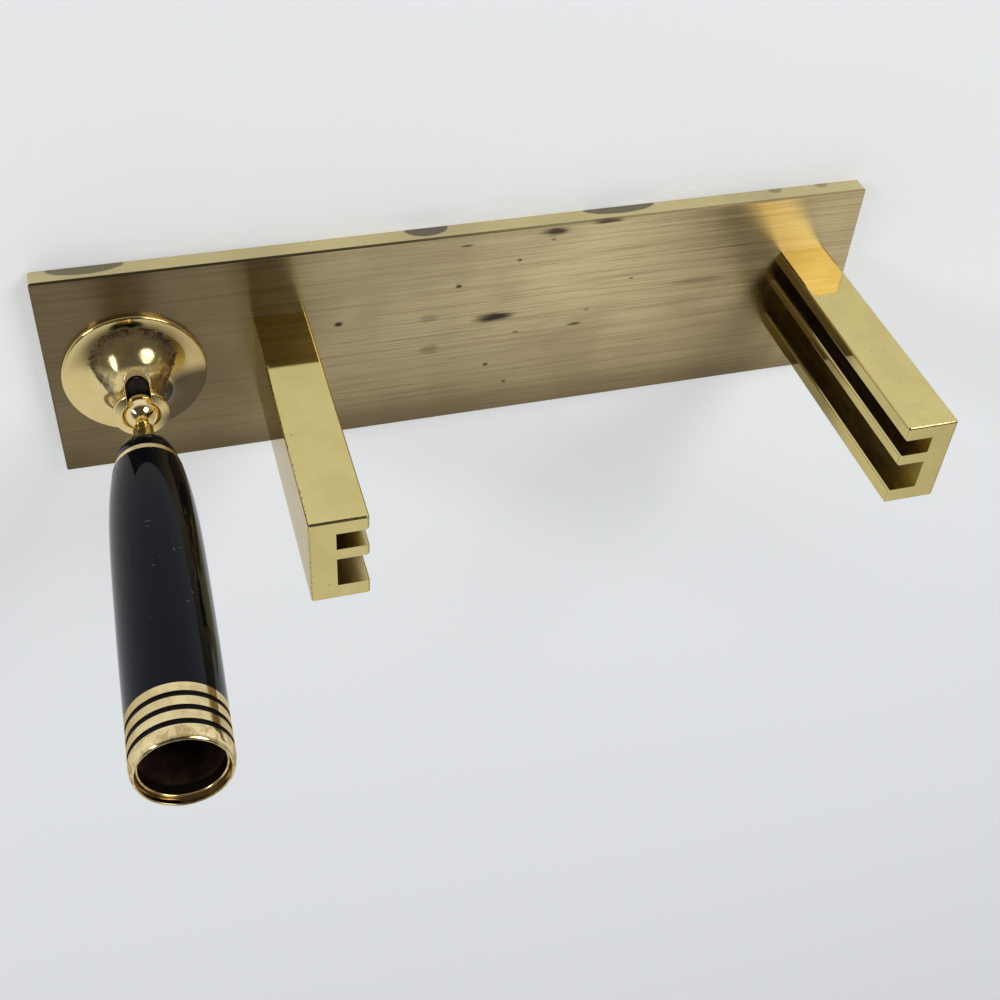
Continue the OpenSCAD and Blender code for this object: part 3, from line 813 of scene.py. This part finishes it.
def bell_brass():
    """Polished bell with a mottled patina and painted dark reflection on the front of its dome, thickest
    along their outline.
    """
    s = Surface("gilt_bell", Specular_IOR_Level=0.2)
    point = s.place()
    x, y, z = s.parts(point)
    out_x = s.maths("SUBTRACT", x, BELL_X)
    reach = s.span(out_x, y)
    mottle = s.noise(point, scale=0.75, detail=5.0, roughness=0.7, distortion=0.5)
    specks = s.noise(point, scale=3.4, detail=4.0, roughness=0.75)
    clouds = s.noise(point, scale=0.16, detail=4.0, roughness=0.55, distortion=0.3)
    half = SLOT_W / 2
    ball_z = PLATE_TOP + BALL_H
    below = s.maths("MINIMUM", s.maths("SUBTRACT", z, ball_z - SLOT_DROP + half), 0.0)
    from_slot = s.span(out_x, below)

    # Patina and painted dark reflection: their outline, how thick they are, and where they are left off
    # beside the slot
    edge = s.maths("SUBTRACT", TARNISH_REFLECTION_START, s.maths("MULTIPLY", reach, TARNISH_REFLECTION_SLOPE), y)
    deep = s.maths("DIVIDE", s.maths("SUBTRACT", y, TARNISH_REFLECTION_MIDDLE_Y), TARNISH_REFLECTION_HALF_Y)
    dome = s.span(s.maths("DIVIDE", out_x, TARNISH_REFLECTION_HALF_X), deep)
    edge = s.maths("MINIMUM", edge, s.maths("MULTIPLY", s.maths("SUBTRACT", 1.0, dome), TARNISH_REFLECTION_FALL))
    ragged = s.maths("ADD", edge, s.band(mottle, 0.3, 0.7, out=(-0.4, 0.4), soft=False))
    front = s.maths("MULTIPLY", s.band(ragged, -0.2, 0.3), s.band(reach, *TARNISH_REFLECTION_FOOT))
    front = s.maths("MULTIPLY", front, s.band(z, ball_z + 0.1, ball_z - 0.3))
    worn = s.band(mottle, 0.40, 0.64, out=(0.05, 0.5))
    worn = s.maths("ADD", worn, s.band(specks, 0.45, 0.65, out=(0.0, 0.2)))
    worn = s.maths("MINIMUM", s.maths("ADD", worn, s.band(ragged, 2.8, 0.4, out=(0.0, 0.6))), 1.0)
    clean = s.band(out_x, 3.6, 2.8, out=(0.0, 0.85))
    clean = s.maths("MULTIPLY", clean, s.band(z, PLATE_TOP + 4.0, PLATE_TOP + 5.2), s.band(out_x, 0.8, 1.6))
    clean = s.maths("MAXIMUM", clean, s.band(from_slot, half + 0.6, half + 0.4))
    tarnish_and_reflection = s.maths("MULTIPLY", front, worn, s.maths("SUBTRACT", 1.0, clean))

    # Metal: a painted amber reflection on the uprights' side and painted shade at its rear there, and pale on
    # the slot's cut faces
    tint = s.mix(s.band(clouds, 0.40, 0.68), BELL_GOLD, BELL_GOLD_WORN)
    tint = s.mix(s.band(out_x, -2.5, -7.0, out=(0.0, 0.75)), tint, BELL_SIDE_REFLECTION)
    behind = s.maths("MULTIPLY", s.band(out_x, -0.8, -4.5), s.band(y, -1.5, 1.5))
    tint = s.mix(behind, tint, BELL_BEHIND_SHADE)
    cut = s.band(from_slot, half + 0.10, half + 0.03)
    cut = s.maths("MULTIPLY", cut, s.band(reach, SEAT_R + 0.05, SEAT_R + 0.25), s.band(y, -1.5, -2.0))
    tint = s.mix(cut, tint, BELL_CUT)

    # Patina and painted dark reflection: brown and red, blotched darker
    tarnish_reflection = s.mix(s.band(clouds, 0.45, 0.60), TARNISH_REFLECTION_BROWN, TARNISH_REFLECTION_RED)
    speckled = s.band(specks, 0.46, 0.62, out=(0.0, 0.8))
    mottled = s.band(mottle, 0.46, 0.66, out=(0.0, 0.6))
    tarnish_reflection = s.mix(s.maths("MAXIMUM", speckled, mottled), tarnish_reflection, TARNISH_REFLECTION_BLOTCH)
    metal_drop = s.maths("MAXIMUM", s.maths("MULTIPLY", tarnish_and_reflection, 0.5), s.maths("MULTIPLY", cut, 0.7))
    s.feed(Base_Color=s.mix(tarnish_and_reflection, tint, tarnish_reflection), Metallic=s.maths("SUBTRACT", 1.0, metal_drop))
    rough = s.maths("ADD", s.band(clouds, 0.3, 0.75, out=(0.08, 0.12)), s.maths("MULTIPLY", tarnish_and_reflection, 0.14))
    s.feed(Roughness=s.maths("ADD", rough, s.maths("MULTIPLY", cut, 0.35)))
    s.bump(s.maths("SUBTRACT", clouds, tarnish_and_reflection), strength=0.1, depth=0.02)
    return s.material


# Black pieces, and the scratches on the barrel: middle and half-widths of each, in millimetres
LACQUER = (0.003, 0.004, 0.006)
ENAMEL = (0.005, 0.003, 0.0025)
PAD_BLACK = (0.015, 0.013, 0.012)
BLACK_WEAR = (0.10, 0.10, 0.10)
BLACK_TINT = (0.80, 0.92, 1.0, 1)
SCRATCHES = (
    ((57.98, -9.55, 47.86), (0.45, 0.6, 0.10)), ((58.08, -9.65, 48.91), (0.30, 0.6, 0.09)),
    ((55.16, -9.76, 54.06), (0.12, 0.6, 0.30)), ((54.36, -9.34, 53.56), (0.18, 0.6, 0.12)),
    ((58.07, -10.45, 56.96), (0.25, 0.6, 0.10)), ((53.78, -9.63, 62.07), (0.12, 0.6, 0.22)),
    ((54.54, -10.28, 64.06), (0.20, 0.6, 0.10)),
)


def black_gloss(name, colour, roughness, scratches=(), gloss=0.12):
    """Black lacquer with a soft orange peel, hairlines and dust."""
    s = Surface(name, Specular_IOR_Level=gloss, Specular_Tint=BLACK_TINT)
    point = s.place()
    peel = s.noise(point, scale=0.7, detail=3.0, roughness=0.5)
    hairs = s.band(s.noise(s.place((2.2, 2.2, 0.06)), scale=1.6, detail=3.0, roughness=0.6), 0.70, 0.78)
    dust = s.band(s.noise(point, scale=2.1, detail=1.0, roughness=0.5), 0.76, 0.80)
    wear = s.maths("MAXIMUM", s.maths("MULTIPLY", hairs, 0.25), s.maths("MULTIPLY", dust, 0.6))
    for centre, half in scratches:
        wear = s.maths("MAXIMUM", wear, s.spot(point, centre, half))
    s.feed(Base_Color=s.mix(wear, colour, BLACK_WEAR))
    rough = s.band(peel, 0.3, 0.7, out=(roughness, roughness * 1.6))
    s.feed(Roughness=s.maths("ADD", rough, s.maths("MULTIPLY", wear, 0.2)))
    s.bump(peel, strength=0.05, depth=0.02)
    return s.material


LINER_DARK = (0.020, 0.011, 0.008)
LINER_BROWN = (0.050, 0.026, 0.016)
LINER_RING = (0.07, 0.04, 0.025)


def liner_brown():
    """Dark brown lining of the pen bore."""
    s = Surface("liner_brown", Specular_IOR_Level=0.4)
    rings = s.noise(s.place((0.3, 0.3, 2.4)), detail=3.0, roughness=0.6)
    blotch = s.noise(s.place(), scale=0.5, detail=3.0, roughness=0.6)
    colour = s.mix(s.band(blotch, 0.35, 0.7), LINER_DARK, LINER_BROWN)
    s.feed(Base_Color=s.mix(s.band(rings, 0.55, 0.75, out=(0.0, 0.5)), colour, LINER_RING))
    s.feed(Roughness=s.band(rings, 0.3, 0.7, out=(0.32, 0.5)))
    s.bump(rings, strength=0.2, depth=0.03)
    return s.material


FELT_DARK = (0.010, 0.045, 0.022)
FELT_PALE = (0.03, 0.11, 0.055)
FELT_UNEVEN = (0.012, 0.05, 0.03)


def green_felt():
    """Felt: matted fibres over a slightly uneven dye."""
    s = Surface("green_felt", Roughness=0.95, Sheen_Weight=0.35, Sheen_Roughness=0.5, Specular_IOR_Level=0.1)
    point = s.place()
    fibre = s.noise(point, scale=5.5, detail=6.0, roughness=0.75, distortion=0.8)
    dye = s.noise(point, scale=0.12, detail=3.0, roughness=0.5)
    colour = s.mix(s.band(fibre, 0.35, 0.7), FELT_DARK, FELT_PALE)
    s.feed(Base_Color=s.mix(s.band(dye, 0.35, 0.7, out=(0.0, 0.4)), colour, FELT_UNEVEN))
    s.bump(fibre, strength=0.6, depth=0.2)
    return s.material


SCREW = (0.70, 0.55, 0.27)
SCREW_WORN = (0.50, 0.38, 0.19)
STEEL = (0.55, 0.55, 0.56)
STEEL_WORN = (0.40, 0.40, 0.41)


def turned_metal(name, colour, worn, roughness):
    """Turned brass of the screws, plug and nut, and the steel of the spring."""
    s = Surface(name, Metallic=1.0)
    lines = s.noise(s.place((0.4, 0.4, 6.0)), detail=3.0, roughness=0.6)
    clouds = s.noise(s.place(), scale=0.6, detail=3.0, roughness=0.5)
    s.feed(Base_Color=s.mix(s.band(clouds, 0.35, 0.7), colour, worn))
    s.feed(Roughness=s.band(lines, 0.3, 0.7, out=(roughness, roughness * 1.5)))
    s.bump(lines, strength=0.25, depth=0.02)
    return s.material


gilt_bell = bell_brass()
gilt_ball = polished_brass("gilt_ball", BALL_GOLD, BALL_GOLD_WORN, roughness=0.05)
gilt_trim = polished_brass("gilt_trim", RING_GOLD, RING_GOLD_WORN, roughness=0.26)
gilt_sleeve = polished_brass("gilt_sleeve", SLEEVE_GOLD, SLEEVE_GOLD_WORN, roughness=0.10, mouth=True)
black_barrel = black_gloss("black_gloss", LACQUER, roughness=0.04, scratches=SCRATCHES)
black_cap = black_gloss("black_cap", LACQUER, roughness=0.04)
black_enamel = black_gloss("black_enamel", ENAMEL, roughness=0.08, gloss=0.07)
screw_brass = turned_metal("screw_brass", SCREW, SCREW_WORN, roughness=0.25)

dress(plate_brass(), "base_plate")
for hand, low, high, side in (("left", LEFT_LOW, LEFT_HIGH, 1), ("right", RIGHT_LOW, RIGHT_HIGH, -1)):
    post = post_form(f"{hand}_upright", low, high, side, f"{hand}_screw_front", f"{hand}_screw_rear")
    place = (low, high, side)
    look = polished_brass(f"{hand}_post_brass", POST_GOLD, POST_GOLD_WORN, roughness=0.05, post=place)
    settle(post, look, "base", "polished_brass", f"{hand}_post")
dress(green_felt(), "felt_pad")
dress(screw_brass, "left_screw_front", "left_screw_rear", "right_screw_front", "right_screw_rear")
dress(screw_brass, "swivel_screw", "spring_plug", "stud_nut")
dress(turned_metal("spring_steel", STEEL, STEEL_WORN, roughness=0.22), "tension_spring")
dress(black_gloss("dark_pad", PAD_BLACK, roughness=0.35), "friction_pad")
dress(gilt_trim, "end_ring")
settle(bell_form(), gilt_bell, "base", "gilt_bell", "swivel_bell")
settle(ball_form(), gilt_ball, "stud", "gilt_ball", "ball_stud")
settle(cap_form(), black_cap, "socket", "black_gloss", "end_cap")
settle(barrel_form(), black_barrel, "socket", "black_gloss", "barrel")
settle(sleeve_form(), gilt_sleeve, "socket", "gilt_trim", "mouth_sleeve")
for index in range(GROOVES):
    settle(inlay_form(index), black_enamel, "socket", "black_enamel", f"groove_inlay_{index + 1}")
dress(liner_brown(), "liner")

# Floor: pale, and a little lighter to the eye and in reflections than the lamps make it
FLOOR_HALF = 3.0
FLOOR_PAINT = (0.88, 0.90, 0.91, 1)
FLOOR_LIFT = (0.94, 0.98, 1.0, 1)
FLOOR_LIFT_STRENGTH = 0.30
floor_corners = [(x * FLOOR_HALF, y * FLOOR_HALF, 0) for x, y in ((-1, -1), (1, -1), (1, 1), (-1, 1))]
floor_mesh = bpy.data.meshes.new("floor")
floor_mesh.from_pydata(floor_corners, [], [(0, 1, 2, 3)])
floor = bpy.data.objects.new("floor", floor_mesh)
bpy.context.scene.collection.objects.link(floor)
paint = Surface("floor_white", Base_Color=FLOOR_PAINT, Roughness=0.8, Specular_IOR_Level=0.2,
                Emission_Color=FLOOR_LIFT)
rays = paint.add("ShaderNodeLightPath").outputs
lifted = paint.maths("MAXIMUM", rays["Is Camera Ray"], rays["Is Glossy Ray"], rays["Is Transmission Ray"])
paint.feed(Emission_Strength=paint.maths("MULTIPLY", lifted, FLOOR_LIFT_STRENGTH))
floor_mesh.materials.append(paint.material)

# Camera, in metres; it stands upside down to the part
CAMERA_AT = Vector((0.05674, -0.14552, 0.18622))
CAMERA_RIGHT = Vector((-0.9588, -0.0575, 0.2781))
CAMERA_UP = Vector((-0.1552, -0.7140, -0.6826))
CAMERA_BACK = Vector((0.2378, -0.6977, 0.6757))
LENS = 50.28
NEAREST = 0.005
eye = bpy.data.cameras.new("camera")
eye.lens = LENS
eye.clip_start = NEAREST
camera = bpy.data.objects.new("camera", eye)
turn = Matrix((CAMERA_RIGHT, CAMERA_UP, CAMERA_BACK)).transposed().to_4x4()
camera.matrix_world = Matrix.Translation(CAMERA_AT) @ turn
bpy.context.scene.collection.objects.link(camera)
bpy.context.scene.camera = camera

# World: an even pale room, dark in a cone overhead and behind the viewer, and dimmer towards -X
ROOM = (0.72, 0.73, 0.75)
ROOM_DARK = (0.085, 0.08, 0.075)
ROOM_DIM = (0.42, 0.41, 0.40)
DARK_SIDE = Vector((0.08, -0.58, 0.81)).normalized()
DARK_OUTER = math.cos(math.radians(76))
DARK_INNER = math.cos(math.radians(48))
DARK_ABOVE = (0.08, 0.34)
DIM_SIDE = (-0.35, -0.85)
world = bpy.data.worlds.new("studio")
world.use_nodes = True
bpy.context.scene.world = world
room = Graph(world.node_tree)
towards = room.add("ShaderNodeTexCoord").outputs["Generated"]
to_side, _, to_top = room.parts(towards)
cone = room.band(room.vectors("DOT_PRODUCT", towards, DARK_SIDE), DARK_OUTER, DARK_INNER)
overhead = room.maths("MULTIPLY", cone, room.band(to_top, *DARK_ABOVE))
walls = room.mix(room.band(to_side, *DIM_SIDE), ROOM, ROOM_DIM)
room.put(room.tree.nodes["Background"].inputs["Color"], room.mix(overhead, walls, ROOM_DARK))

LAMP_DISTANCE = 0.8


def softbox(name, direction, size, power):
    """An elliptical lamp that looks at the middle of the part; sizes are in metres."""
    data = bpy.data.lights.new(name, "AREA")
    data.shape = "ELLIPSE"
    data.size, data.size_y = size
    data.energy = power
    lamp = bpy.data.objects.new(name, data)
    bpy.context.scene.collection.objects.link(lamp)
    towards_lamp = Vector(direction).normalized()
    lamp.location = (cad_low + cad_high) / 2 + towards_lamp * LAMP_DISTANCE
    lamp.rotation_mode = "QUATERNION"
    lamp.rotation_quaternion = towards_lamp.to_track_quat("Z", "Y")


softbox("key", direction=(-0.50, -0.64, 0.59), size=(0.44, 0.48), power=2.2)
softbox("side", direction=(0.75, -0.45, 0.45), size=(0.15, 0.46), power=1.1)

bpy.context.scene.view_settings.view_transform = "Standard"
